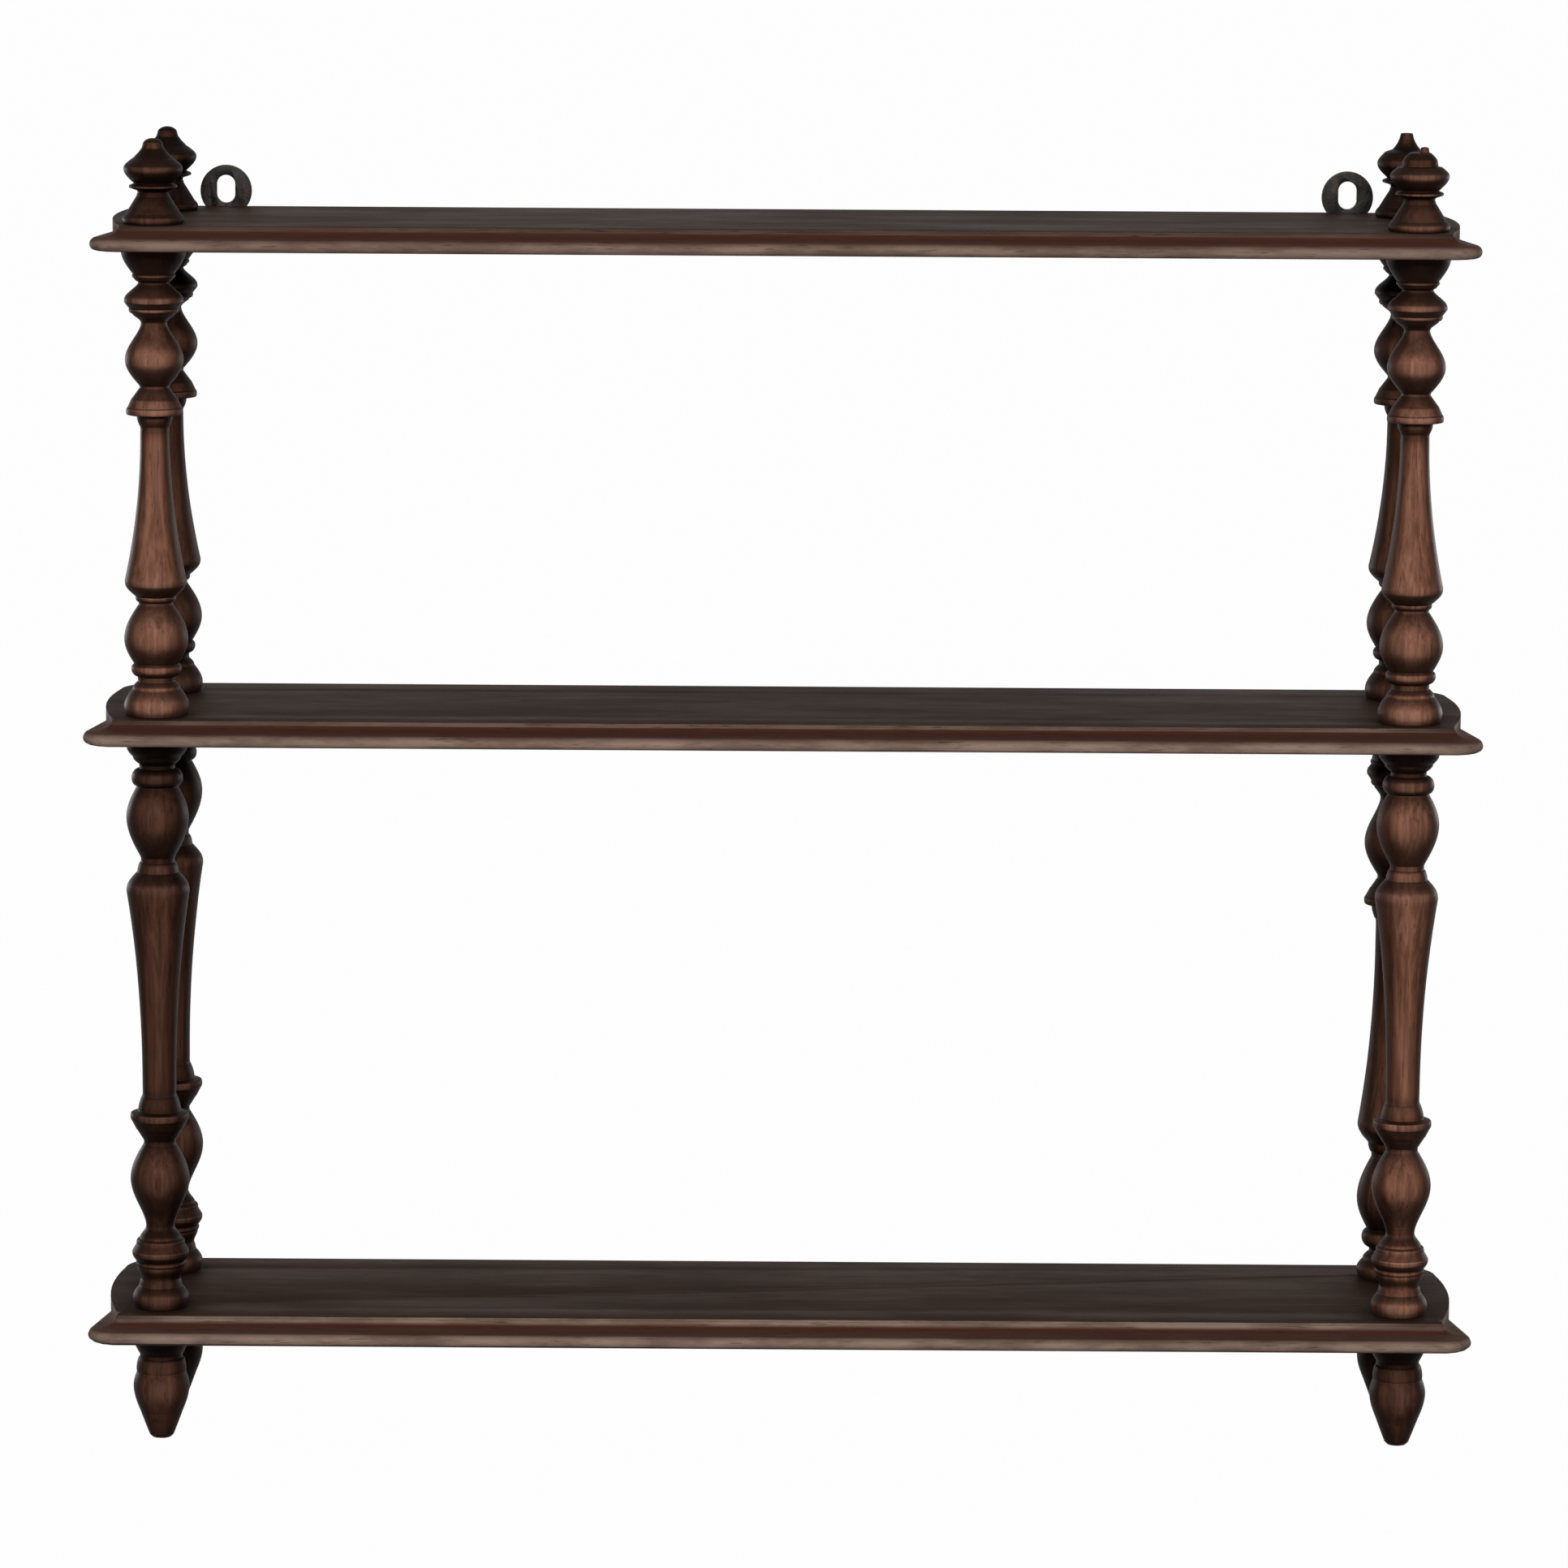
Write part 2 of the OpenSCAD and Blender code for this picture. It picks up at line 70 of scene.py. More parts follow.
# The boards, and how far the fillet of each is rubbed pale and painted with a highlight
BOARDS = {"shelf_top": 0.2, "shelf_middle": 0.5, "shelf_bottom": 1.0}
FINIALS = ("finial_front_left", "finial_back_left", "finial_back_right")
WORN_FINIAL = "finial_front_right"
COLUMNS = tuple(
    f"{level}_column_{row}_{side}"
    for level in ("upper", "lower") for row in ("front", "back") for side in ("left", "right")
)
PENDANTS = tuple(f"pendant_{row}_{side}" for row in ("front", "back") for side in ("left", "right"))
HANGERS = ("hanger_left", "hanger_right")

# How much darker each turning is painted than the palest ones: its own stain, and on the back ones also
# painted shade
STAIN_AND_SHADE = {
    "finial_front_left": 0.75, "finial_front_right": 0.5,
    "finial_back_left": 0.9, "finial_back_right": 0.85,
    "upper_column_front_left": 0.05, "upper_column_front_right": 0.0,
    "lower_column_front_left": 0.72, "lower_column_front_right": 0.1,
    "pendant_front_left": 0.45, "pendant_front_right": 0.6,
    "pendant_back_left": 0.8, "pendant_back_right": 0.8,
}
# The darkness of the turnings that aren't listed, the back columns: their stain and painted shade
UNLISTED_STAIN_AND_SHADE = 0.5

# First seed of the unevenness of each group of turnings; that of the columns is 0
FINIAL_SEED = 20
WORN_SEED = 29
STUB_SEED = 30
PENDANT_SEED = 40
# Seed of how far each screw is turned
SCREW_SEED = 3

# Fitted camera: position in mm, and its angles in radians
CAMERA_PLACE = (7.525, -3624.08, 291.056)
CAMERA_PITCH = 0.15514
CAMERA_YAW = -0.0019727
CAMERA_ROLL = 0.0058801
CAMERA_LENS = 172.17
CAMERA_SENSOR = 36
CAMERA_CLIP = (0.05, 200)

# Half the width of the floor, how much of it is plain background, and the strength of the room's light
FLOOR_REACH = 70.0
FLOOR_GLOW = 0.985
AMBIENT = 0.09

# Soft lights, in metres: place, what it is turned to, size, and the property that holds its power
MIDDLE = (0, -0.07, -0.25)
LIGHTS = {
    "Key": ((0.0, -3.8, 1.25), MIDDLE, (1.6, 0.8), "key_power"),
    "Top": ((0.0, -0.7, 2.1), (0, -0.07, -0.2), (2.0, 1.2), "top_power"),
    # Two level fills light the back and the ends, and graze the board faces
    "Left_Fill": ((-2.6, 2.6, -0.2), MIDDLE, (1.0, 0.8), "fill_power"),
    "Right_Fill": ((2.6, 2.6, -0.2), MIDDLE, (1.0, 0.8), "fill_power"),
}

# Two rings whose sections lie closer than this are one ring of the turned solid
SAME_RING = 0.004 * MM
RING_VERTS = 6

# Points of a section closer than this are one point
SAME_POINT = 0.02 * MM

# The largest share of a straight run that a worn arris takes at each end
ARRIS_SHARE = 0.35

# How far down from a board its painted shadow reaches
SHADOW_REACH = 34 * MM

# Tenons and tips are thinner than this and take no part in the crests and grooves
CORE_RADIUS = 5.5 * MM

# How far a crest stands out, and how far a groove lies in, to count in full
CREST_STAND = 2.5 * MM
GROOVE_DEPTH = 1.8 * MM

# Unevenness of the turnings: its changes per metre of height, and the radius from which it is full
SWAY_RATE = 14.0
SWAY_RADIUS = 12 * MM

# Stub of the broken knob: its length, how much wider it is below, and how far its edge is worn
STUB_LENGTH = 5 * MM
STUB_FLARE = 0.9 * MM
STUB_WEAR = 0.3 * MM

# Flat-sided pieces: faces flatter than the first angle are merged, edges sharper than the second
# are eased, and edges sharper than the third stay crisp in the shading
FLAT_ANGLE = math.radians(0.6)
EASED_ANGLE = math.radians(40)
CRISP_ANGLE = math.radians(32)
EASED_STEPS = 2
# Vertices of a solid closer than this are one vertex
SAME_VERTEX = 0.001 * MM


def linear(code):
    """Linear colour with alpha 1 from an sRGB hex code."""
    parts = [int(code[k:k + 2], 16) / 255 for k in (1, 3, 5)]
    return tuple(c / 12.92 if c <= 0.04045 else ((c + 0.055) / 1.055) ** 2.4 for c in parts) + (1.0,)


def add(tree, kind, inputs=None, **settings):
    """Adds a node. inputs maps a socket's name or number to a value or to another node's output."""
    node = tree.nodes.new(kind)
    for name, value in settings.items():
        setattr(node, name, value)
    for key, value in (inputs or {}).items():
        if isinstance(value, bpy.types.NodeSocket):
            tree.links.new(value, node.inputs[key])
        else:
            node.inputs[key].default_value = value
    return node


# Materials


# Old wax over a red-brown stain mirrors warmly
WARM_GLOSS = (1.0, 0.66, 0.52, 1.0)
# A pattern that isn't drawn out along any axis
EVEN = (1, 1, 1)


def fresh_material(name):
    """Empty material and its node tree."""
    material = bpy.data.materials.new(name)
    material.use_nodes = True
    material.node_tree.nodes.clear()
    return material, material.node_tree


def pattern(tree, drawn, size_mm, detail, roughness, distortion=0.0):
    """Noise with features about size_mm across, drawn out along each axis whose factor is small."""
    place = add(tree, "ShaderNodeTexCoord").outputs["Object"]
    place = add(tree, "ShaderNodeMapping", {"Vector": place, "Scale": drawn}).outputs[0]
    return add(tree, "ShaderNodeTexNoise", {
        "Vector": place, "Scale": 1000 / size_mm, "Detail": detail,
        "Roughness": roughness, "Distortion": distortion,
    }).outputs[0]


def mask(tree, *parts):
    """
    Product of its parts. A part is a value, or (value, low, high) for a smooth rise from 0 to 1,
    or the same with the two results at low and high.
    """
    product = None
    for part in parts:
        if isinstance(part, tuple):
            value, low, high, *results = part
            at_low, at_high = results or (0.0, 1.0)
            part = add(tree, "ShaderNodeMapRange", {
                0: value, 1: low, 2: high, 3: at_low, 4: at_high,
            }, interpolation_type="SMOOTHSTEP").outputs[0]
        product = part if product is None else add(
            tree, "ShaderNodeMath", {0: product, 1: part}, operation="MULTIPLY").outputs[0]
    return product


def layered(tree, colour, *layers):
    """Colour with stain, wax, wear and painted light and shade laid over it in order, each as its hex code
    and its mask.
    """
    for code, *parts in layers:
        colour = add(tree, "ShaderNodeMix", {
            0: mask(tree, *parts), 6: colour, 7: linear(code)}, data_type="RGBA").outputs[2]
    return colour


def heights(tree, *shares):
    """Sum of patterns as a surface's height, each as (pattern, share)."""
    height = 0.0
    for value, share in shares:
        height = add(tree, "ShaderNodeMath", {
            0: value, 1: share, 2: height}, operation="MULTIPLY_ADD").outputs[0]
    return height


def finished(material, colour, roughness, height, strength, depth, gloss):
    """The material with its shader, and a bump of a strength and depth from the height."""
    tree = material.node_tree
    bump = add(tree, "ShaderNodeBump", {
        "Strength": strength, "Distance": depth, "Height": height}).outputs[0]
    shader = add(tree, "ShaderNodeBsdfPrincipled", {
        "Base Color": colour, "Roughness": roughness, "Normal": bump, **gloss}).outputs[0]
    add(tree, "ShaderNodeOutputMaterial", {0: shader})
    return material


def wood_grain(tree, along):
    """Colour streaks, broad cloudiness and open pores of a wood whose grain runs along an axis."""
    def grain(factor, *rest):
        return pattern(tree, tuple(factor if k == along else 1.0 for k in range(3)), *rest)

    streak = grain(0.05, 3.2, 6, 0.62, 0.4)
    cloud = grain(0.3, 26, 4, 0.6)
    # Real pores are 0.2 mm wide; they are drawn 0.5 mm wide so that they show
    pore = mask(tree, (grain(0.07, 0.9, 2, 0.5), 0.60, 0.72))
    return streak, cloud, pore


def board_wood():
    """Walnut-stained board, hand-planed and waxed: dull and greyed on top with dust and painted shade and
    sheen, rubbed pale along the nose with a painted highlight.
    """
    material, tree = fresh_material("Waxed_Stained_Board")
    streak, cloud, pore = wood_grain(tree, 0)
    drop, rub, wear = (add(tree, "ShaderNodeAttribute", attribute_name=name).outputs["Fac"]
                       for name in ("drop", "rub", "wear"))
    normal = add(tree, "ShaderNodeNewGeometry").outputs["Normal"]
    normal_y, normal_z = add(tree, "ShaderNodeSeparateXYZ", {0: normal}).outputs[1:]
    patch = mask(tree, (pattern(tree, (0.25, 1, 1), 9, 4, 0.6), 0.35, 0.65, 0.5, 1.0))

    narrow = mask(tree, (drop, 0.19, 0.13), wear)
    wide = mask(tree, (drop, 0.3, 0.14), (wear, 0.8, 1.0))
    fillet_wear_and_highlight = add(tree, "ShaderNodeMath", {0: narrow, 1: wide}, operation="MAXIMUM").outputs[0]

    # Distance from the nearest post, starting from more than the shelf's length
    place = add(tree, "ShaderNodeTexCoord").outputs["Object"]
    plan = add(tree, "ShaderNodeVectorMath", {0: place}, operation="ABSOLUTE").outputs[0]
    plan = add(tree, "ShaderNodeVectorMath", {0: plan, 1: (1, 1, 0)}, operation="MULTIPLY").outputs[0]
    nearest = 1.0
    for x, y in POST_PLACES:
        near = add(tree, "ShaderNodeVectorMath", {
            0: plan, 1: (x, y, 0)}, operation="DISTANCE").outputs["Value"]
        nearest = add(tree, "ShaderNodeMath", {0: nearest, 1: near}, operation="MINIMUM").outputs[0]
    along = add(tree, "ShaderNodeSeparateXYZ", {0: plan}).outputs[0]

    colour = layered(
        tree, linear("#271a14"),
        ("#422e22", (streak, 0.3, 0.72)),
        ("#35231b", (cloud, 0.35, 0.7, 0.0, 0.5)),
        # What faces up is painted a darker grey: dust and old wax, and also painted shade with a grey sheen
        ("#2b211c", (normal_z, 0.93, 0.99), (cloud, 0.3, 0.75, 0.35, 0.85)),
        # The cove keeps its red-brown stain, darkened by old wax and by painted shade in the hollow
        ("#40261e", (drop, 0.09, 0.16), (drop, 0.6, 0.42), (normal_z, 0.04, 0.2), 0.85),
        # The nose is rubbed through to a paler brown in patches, with a painted highlight where it faces
        # the front
        ("#8a7468", (drop, 0.32, 0.72), (drop, 1.0, 0.97), (normal_y, -0.2, -0.6, 0.35, 1.0),
         (wear, 0.2, 0.5, 0.82, 1.0), patch, 0.95),
        ("#7a6252", rub, (streak, 0.3, 0.6, 0.25, 0.8)),
        # The fillet and its ledge are rubbed and painted with a highlight nearly as pale as the nose
        ("#806c60", fillet_wear_and_highlight, (drop, 0.0, 0.02), patch),
        # Dark rings round the feet of the posts: old wax, and painted contact shade where the posts meet
        # the board
        ("#1c120d", (nearest, 22 * MM, 15.5 * MM), (normal_z, 0.9, 0.99), 0.7),
        ("#1a100c", pore, 0.5),
        # The ears, out of the duster's way, hold the most wax
        ("#1f1410", (along, 270 * MM, 310 * MM), (drop, 0.3, 0.1), 0.5),
    )
    dents = pattern(tree, (0.5, 1, 1), 7, 3, 0.5)
    height = heights(tree, (streak, 0.35), (dents, 0.6), (pore, -0.25))
    return finished(material, colour, mask(tree, (cloud, 0.3, 0.7, 0.58, 0.72)), height, 0.35, 0.5 * MM, {
        "Specular IOR Level": 0.02, "Specular Tint": WARM_GLOSS})


def turned_wood():
    """Walnut-stained turning, burnished and waxed: warm on the crests, near black in the grooves, with
    light and shade painted on by which way it faces and under the boards.
    """
    material, tree = fresh_material("Waxed_Stained_Turning")
    streak, cloud, pore = wood_grain(tree, 2)
    crest, groove, rub, wax, stain = (
        add(tree, "ShaderNodeAttribute", attribute_name=name).outputs["Fac"]
        for name in ("crest", "groove", "rub", "wax", "stain"))
    normal = add(tree, "ShaderNodeNewGeometry").outputs["Normal"]
    tilt = add(tree, "ShaderNodeSeparateXYZ", {0: normal}).outputs[2]
    colour = layered(
        tree, linear("#54362a"),
        ("#8c604d", (streak, 0.3, 0.72)),
        ("#714d3e", (cloud, 0.35, 0.72, 0.0, 0.55)),
        # Crests are rubbed warm and pale, which also serves as a painted highlight on them
        ("#a98070", crest, (cloud, 0.3, 0.65, 0.35, 1.0), 0.2),
        ("#b08c76", rub, (streak, 0.3, 0.65, 0.1, 0.5)),
        ("#24150f", groove, 0.65),
        ("#1d100c", pore, 0.45),
    )
    # Painted light and shade: turnings are painted paler where they face the front and a little up, and
    # darker at the sides; how strongly is matched to the photo
    front = add(tree, "ShaderNodeVectorMath", {0: normal, 1: (0, -0.966, 0.26)}, operation="DOT_PRODUCT")
    front = mask(tree, (front.outputs["Value"], 0.2, 0.97))
    front = add(tree, "ShaderNodeMath", {0: front, 1: 4.0}, operation="POWER").outputs[0]
    dark = add(tree, "ShaderNodeMix", {
        0: 1.0, 6: colour, 7: linear("#7d7672")}, data_type="RGBA", blend_type="MULTIPLY").outputs[2]
    colour = add(tree, "ShaderNodeMix", {0: front, 6: dark, 7: colour}, data_type="RGBA").outputs[2]
    rising, falling = mask(tree, (tilt, 0.3, 0.65)), mask(tree, (tilt, -0.15, -0.5))
    painted_slope_shade = add(tree, "ShaderNodeMath", {0: rising, 1: falling}, operation="MAXIMUM").outputs[0]
    colour = layered(
        tree, colour,
        # Painted shade: the slopes that face steeply up and those that face down are painted darker
        ("#1f130e", painted_slope_shade, 0.75),
        # Dark wax has stayed in the corner under each board
        # Painted shadow under each board, darkest at its underside
        ("#120a07", wax, 0.9),
    )
    # Each turning took the stain in its own way, and the back ones are painted darker as shade
    colour = add(tree, "ShaderNodeMix", {
        0: stain, 6: colour, 7: linear("#5a5654")}, data_type="RGBA", blend_type="MULTIPLY").outputs[2]
    # The gouge leaves fine rings; real ones are 0.2 mm apart and are drawn 0.9 mm apart so that they show
    rings = pattern(tree, (0.04, 0.04, 1), 0.9, 2, 0.5)
    dents = pattern(tree, (1, 1, 0.6), 5, 3, 0.5)
    height = heights(tree, (dents, 0.45), (rings, 0.25), (pore, -0.2))
    return finished(material, colour, mask(tree, (cloud, 0.3, 0.7, 0.46, 0.56)), height, 0.35, 0.4 * MM, {
        "Specular IOR Level": 0.03, "Specular Tint": WARM_GLOSS})


def bare_wood():
    """Beech dowel, turned and left bare for the glue: pale, with short flecks along the grain."""
    material, tree = fresh_material("Bare_Beech_Dowel")
    streak, cloud, pore = wood_grain(tree, 2)
    colour = layered(
        tree, linear("#a5794f"), ("#c39a6c", (streak, 0.3, 0.7)), ("#7d5433", pore, 0.6))
    return finished(
        material, colour, mask(tree, (cloud, 0.3, 0.7, 0.6, 0.75)), streak, 0.3, 0.2 * MM, {})


def forged_iron():
    """Wrought iron plate, hammered, blackened in oil and waxed: dark, with soft dents and rubbed edges."""
    material, tree = fresh_material("Blackened_Wrought_Iron")
    scale = pattern(tree, EVEN, 3.5, 5, 0.6)
    rust = pattern(tree, EVEN, 6, 4, 0.6)
    rub = add(tree, "ShaderNodeAttribute", attribute_name="rub").outputs["Fac"]
    colour = layered(
        tree, linear("#0e0d0c"),
        ("#1f1e1b", (scale, 0.3, 0.7)), ("#2a1a14", (rust, 0.52, 0.68), 0.4), ("#45433d", rub, 0.45))
    dents = pattern(tree, EVEN, 2.6, 3, 0.5)
    return finished(material, colour, mask(tree, (scale, 0.3, 0.7, 0.42, 0.62)), dents, 0.5, 0.4 * MM, {
        "Metallic": 0.9})


def screw_steel():
    """Cut steel screw, dulled with age: grey, with brown stain and fine turning lines."""
    material, tree = fresh_material("Dull_Steel_Screw")
    stain = pattern(tree, EVEN, 1.6, 4, 0.6)
    colour = layered(tree, linear("#6b675f"), ("#4a3b30", (stain, 0.35, 0.68)))
    return finished(material, colour, mask(tree, (stain, 0.3, 0.7, 0.35, 0.6)), stain, 0.3, 0.1 * MM, {
        "Metallic": 0.9})


MAKERS = {
    "board_wood": board_wood,
    "turned_wood": turned_wood,
    "bare_wood": bare_wood,
    "dark_iron": forged_iron,
    "screw_steel": screw_steel,
}
made_materials = {}


def finish_of(slot):
    """The material of a record slot, made once."""
    if slot not in made_materials:
        made_materials[slot] = MAKERS[slot]()
    return made_materials[slot]


# Shapes


def axis_of(node):
    """Axis of a turned node: the middle of its box in plan, as (x, y)."""
    low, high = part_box(node)
    return (low.x + high.x) / 2, (low.y + high.y) / 2


POST_PLACES = sorted({
    (round(abs(axis_of(name)[0]), 5), round(abs(axis_of(name)[1]), 5)) for name in PENDANTS
})


def rings_of(node):
    """Rings of a turned node's mesh: the ring of each vertex (or -1), and each ring's (radius, height)."""
    x0, y0 = axis_of(node)
    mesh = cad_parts[node].data
    co = np.array([v.co for v in mesh.vertices], float)
    radius = np.hypot(co[:, 0] - x0, co[:, 1] - y0)
    height = co[:, 2]
    ring = np.full(len(co), -1)
    rings = []
    order = np.argsort(height)
    levels = np.split(order, np.where(np.diff(height[order]) > SAME_RING)[0] + 1)
    for level in levels:
        inner = level[np.argsort(radius[level])]
        for group in np.split(inner, np.where(np.diff(radius[inner]) > SAME_RING)[0] + 1):
            r, z = radius[group].mean(), height[group].mean()
            places = {tuple(np.round(co[k] / MM, 2)) for k in group}
            if len(places) >= RING_VERTS or r < SAME_RING:
                ring[group] = len(rings)
                rings.append((0.0 if r < SAME_RING else r, z))
    return ring, rings


def section_of(node):
    """Section of a turned node as (radius, height) points in order, closed to the axis at both ends."""
    ring, rings = rings_of(node)
    near = {k: set() for k in range(len(rings))}
    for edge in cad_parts[node].data.edges:
        a, b = (int(ring[k]) for k in edge.vertices)
        if a != b and a >= 0 and b >= 0:
            near[a].add(b)
            near[b].add(a)
    ends = [k for k in near if len(near[k]) == 1]
    if len(ends) != 2 or any(len(n) > 2 for n in near.values()):
        raise RuntimeError(f"{node} isn't one plain turning: {len(ends)} ends")
    chain = [min(ends, key=lambda k: rings[k][1])]
    while True:
        ahead = [k for k in near[chain[-1]] if k not in chain]
        if not ahead:
            break
        chain.append(ahead[0])
    points = [rings[k] for k in chain]
    if points[0][0] > 0:
        points.insert(0, (0.0, points[0][1]))
    if points[-1][0] > 0:
        points.append((0.0, points[-1][1]))
    return points


def fine_run(points, step):
    """Smooth curve through the points, sampled about every step."""
    out = [points[0]]
    for k in range(len(points) - 1):
        b, c = points[k], points[k + 1]
        a = points[k - 1] if k else b * 2 - c
        d = points[k + 2] if k + 2 < len(points) else c * 2 - b
        count = max(1, math.ceil((c - b).length / step))
        for i in range(1, count + 1):
            t = i / count
            out.append(0.5 * (2 * b + (c - a) * t + (2 * a - 5 * b + 4 * c - d) * t * t
                              + (3 * b - a - 3 * c + d) * t ** 3))
    return out


def softened(section, props):
    """Section with fine curves and rounded arrises, and for each point how much it is rubbed."""
    points = [Vector(section[0])]
    for p in section[1:]:
        if (Vector(p) - points[-1]).length > SAME_POINT:
            points.append(Vector(p))
    corners = [0]
    for k in range(1, len(points) - 1):
        if (points[k] - points[k - 1]).angle(points[k + 1] - points[k]) > props.corner_angle:
            corners.append(k)
    corners.append(len(points) - 1)
    out, rub = [], []
    for start, end in zip(corners, corners[1:]):
        run = [p.copy() for p in points[start:end + 1]]
        first = run[0].copy()
        for at, to, place in ((0, 1, start), (-1, -2, end)):
            if 0 < place < len(points) - 1:
                length = (run[to] - run[at]).length
                run[at] = run[at].lerp(run[to], min(props.arris, ARRIS_SHARE * length) / length)
        if out:
            a, b = out[-1], run[0]
            turn = (first - a).cross(b - first)
            for t in (0.25, 0.5, 0.75):
                out.append(a.lerp(first, t).lerp(first.lerp(b, t), t))
                rub.append(1.0 if turn > 0 else 0.0)
        fine = fine_run(run, props.step)
        out += fine
        rub += [0.0] * len(fine)
    return out, rub


def relief(points, reach):
    """How far each point of a section stands out from, or lies in behind, the mean of its neighbours."""
    radius = np.array([p.x for p in points])
    height = np.array([p.y for p in points])
    gap = np.abs(height[:, None] - height[None, :])
    weight = np.clip(1 - gap / reach, 0, 1) * (radius[None, :] > CORE_RADIUS)
    mean = (weight * radius[None, :]).sum(1) / np.maximum(weight.sum(1), 1e-9)
    return (radius - mean) * (radius > CORE_RADIUS)


def under_boards(points):
    """Painted shadow under the boards: for each point 1 at a board's underside, falling to 0 at the
    shadow's reach below it.
    """
    heights = np.array([p.y for p in points])
    wax = np.zeros(len(heights))
    for board in BOARDS:
        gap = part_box(board)[0].z - heights
        wax = np.maximum(wax, np.where(gap >= 0, 1 - gap / SHADOW_REACH, 0))
    return wax


def fresh_tree(name, inputs):
    """Empty Geometry Nodes tree and its input sockets; inputs maps each name to its kind of socket."""
    tree = bpy.data.node_groups.new(name, "GeometryNodeTree")
    tree.interface.new_socket("Geometry", in_out="OUTPUT", socket_type="NodeSocketGeometry")
    for label, kind in inputs.items():
        tree.interface.new_socket(label, in_out="INPUT", socket_type="NodeSocket" + kind)
    return tree, add(tree, "NodeGroupInput").outputs


def closed_tree(tree, shape, finish):
    """The tree with its end: instances made real, the material set."""
    shape = add(tree, "GeometryNodeRealizeInstances", {"Geometry": shape}).outputs[0]
    shape = add(tree, "GeometryNodeSetMaterial", {"Geometry": shape, "Material": finish}).outputs[0]
    add(tree, "NodeGroupOutput", {0: shape})
    return tree


def turning_tree():
    """Geometry Nodes tree that spins a section's points round an axis."""
    tree, given = fresh_tree("Turning", {
        "Section": "Geometry", "Segments": "Int", "Axis": "Vector", "Out of Round": "Float",
        "Stain": "Float", "Seed": "Int", "Finish": "Material",
    })
    count = add(tree, "GeometryNodeAttributeDomainSize", {0: given["Section"]}).outputs["Point Count"]
    wide = add(tree, "FunctionNodeIntegerMath", {0: given["Segments"], 1: 1}, operation="ADD").outputs[0]
    grid = add(tree, "GeometryNodeMeshGrid", {"Vertices X": count, "Vertices Y": wide}).outputs[0]
    index = add(tree, "GeometryNodeInputIndex").outputs[0]
    row, column = (
        add(tree, "FunctionNodeIntegerMath", {0: index, 1: wide}, operation=operation).outputs[0]
        for operation in ("DIVIDE_FLOOR", "MODULO"))

    position = add(tree, "GeometryNodeInputPosition").outputs[0]
    place = add(tree, "GeometryNodeSampleIndex", {
        "Geometry": given["Section"], "Value": position, "Index": row,
    }, data_type="FLOAT_VECTOR").outputs[0]
    place = add(tree, "ShaderNodeSeparateXYZ", {0: place}).outputs
    angle = add(tree, "ShaderNodeMath", {0: column, 1: given["Segments"]}, operation="DIVIDE").outputs[0]
    angle = add(tree, "ShaderNodeMath", {0: angle, 1: 2 * math.pi}, operation="MULTIPLY").outputs[0]
    cos, sin = (add(tree, "ShaderNodeMath", {0: angle}, operation=operation).outputs[0]
                for operation in ("COSINE", "SINE"))

    # The unevenness goes round the piece and changes slowly along it
    level = add(tree, "ShaderNodeMath", {0: place[2], 1: SWAY_RATE}, operation="MULTIPLY").outputs[0]
    where = add(tree, "ShaderNodeCombineXYZ", {0: cos, 1: sin, 2: level}).outputs[0]
    sway = add(tree, "ShaderNodeTexNoise", {
        "Vector": where, "W": given["Seed"], "Scale": 1.1, "Detail": 2.0}, noise_dimensions="4D").outputs[0]
    sway = add(tree, "ShaderNodeMath", {0: sway, 1: 0.5}, operation="SUBTRACT").outputs[0]
    sway = add(tree, "ShaderNodeMath", {0: sway, 1: given["Out of Round"]}, operation="MULTIPLY").outputs[0]
    share = add(tree, "ShaderNodeMath", {0: place[0], 1: SWAY_RADIUS}, operation="DIVIDE").outputs[0]
    share = add(tree, "ShaderNodeMath", {0: share, 1: 1.0}, operation="MINIMUM").outputs[0]
    sway = add(tree, "ShaderNodeMath", {0: sway, 1: share}, operation="MULTIPLY").outputs[0]
    radius = add(tree, "ShaderNodeMath", {0: place[0], 1: sway}, operation="ADD").outputs[0]
    x, y = (add(tree, "ShaderNodeMath", {0: radius, 1: part}, operation="MULTIPLY").outputs[0]
            for part in (cos, sin))
    spun = add(tree, "ShaderNodeCombineXYZ", {0: x, 1: y, 2: place[2]}).outputs[0]
    spun = add(tree, "ShaderNodeVectorMath", {0: spun, 1: given["Axis"]}, operation="ADD").outputs[0]
    shape = add(tree, "GeometryNodeSetPosition", {"Geometry": grid, "Position": spun}).outputs[0]

    marks = {}
    for name in ("crest", "groove", "rub", "wax"):
        mark = add(tree, "GeometryNodeInputNamedAttribute", {"Name": name}).outputs[0]
        marks[name] = add(tree, "GeometryNodeSampleIndex", {
            "Geometry": given["Section"], "Value": mark, "Index": row}, data_type="FLOAT").outputs[0]
    marks["stain"] = given["Stain"]
    for name, value in marks.items():
        shape = add(tree, "GeometryNodeStoreNamedAttribute", {
            "Geometry": shape, "Name": name, "Value": value}, data_type="FLOAT", domain="POINT").outputs[0]
    shape = add(tree, "GeometryNodeMergeByDistance", {"Geometry": shape, "Distance": 0.01 * MM}).outputs[0]
    shape = add(tree, "GeometryNodeSetShadeSmooth", {"Geometry": shape}).outputs[0]
    return closed_tree(tree, shape, given["Finish"])


